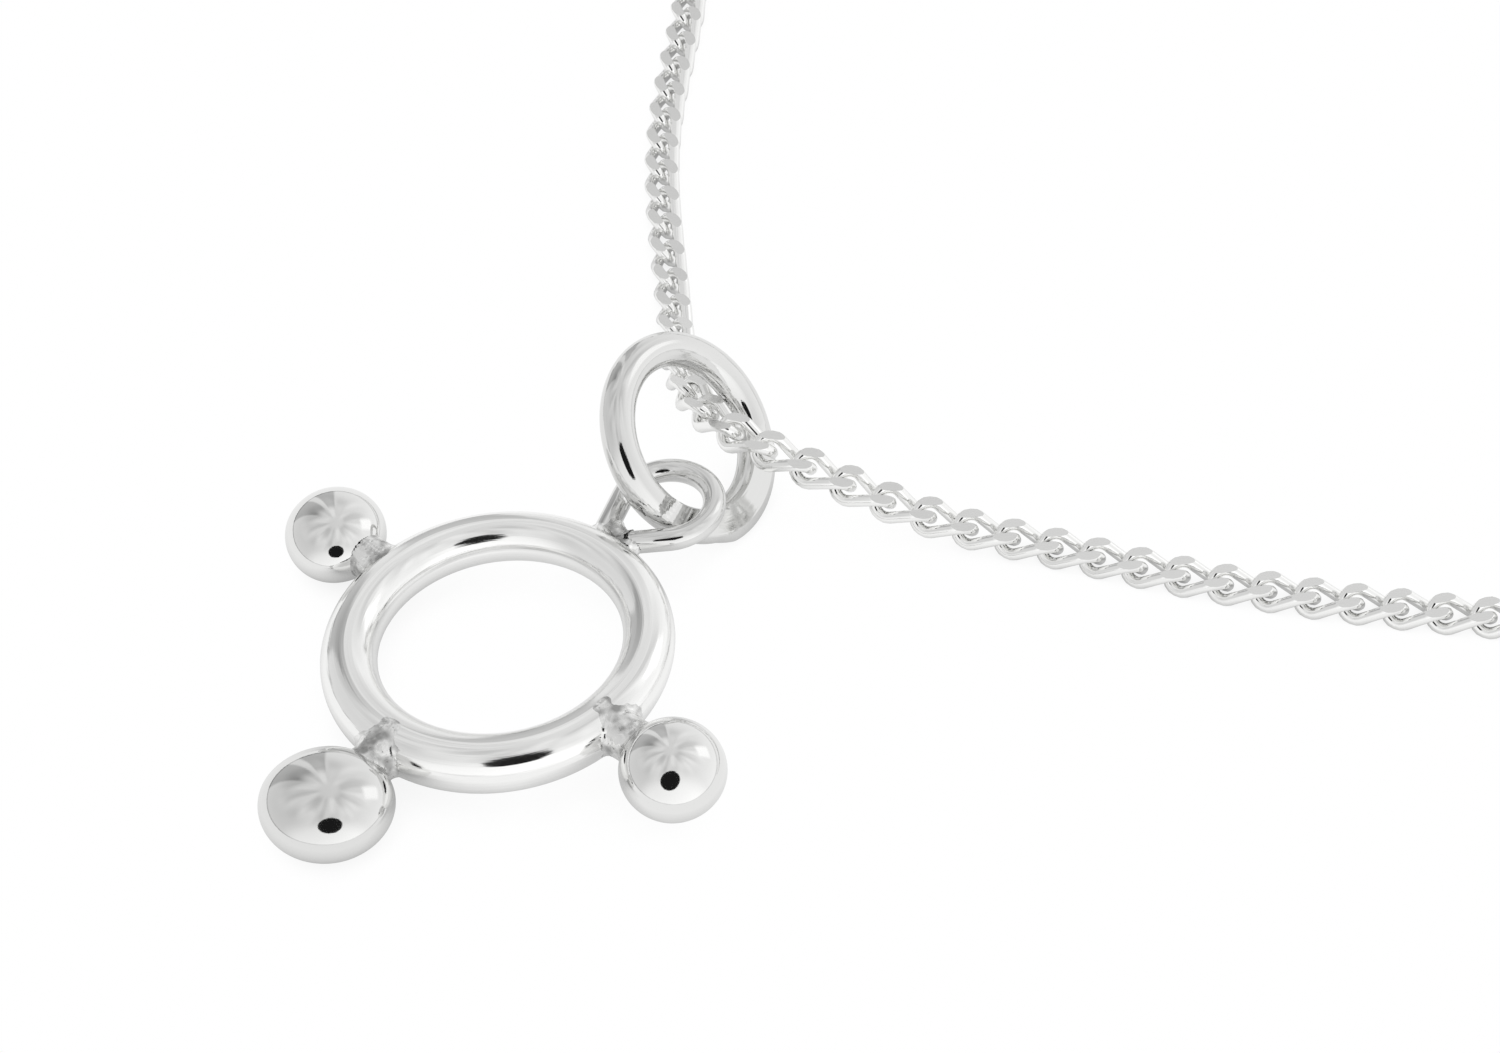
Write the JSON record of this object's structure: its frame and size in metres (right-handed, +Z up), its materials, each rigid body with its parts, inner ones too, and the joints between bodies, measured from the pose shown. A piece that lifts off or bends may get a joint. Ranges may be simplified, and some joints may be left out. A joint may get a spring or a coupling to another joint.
{
  "type": "necklace",
  "caption": "Circle necklace: a round-wire ring pendant with melted balls, hung by a small loop and a jump ring on a curb chain, laid out on a flat floor.",
  "frame": {"origin": "middle of the footprint of the whole necklace, on the floor that it lies on", "axes": "+Z up from the floor; the pendant is at -X -Y, the clasp at +X +Y, and the picture looks along +Y and down"},
  "size_m": [0.1562, 0.153, 0.0079],
  "materials": {
    "polished_silver": "polished sterling silver"
  },
  "bodies": {
    "root": {"pendant": "polished_silver", "jump_ring": "polished_silver", "chain": "polished_silver", "clasp": "polished_silver", "end_ring_start": "polished_silver", "end_ring_finish": "polished_silver"}
  },
  "joints": []
}
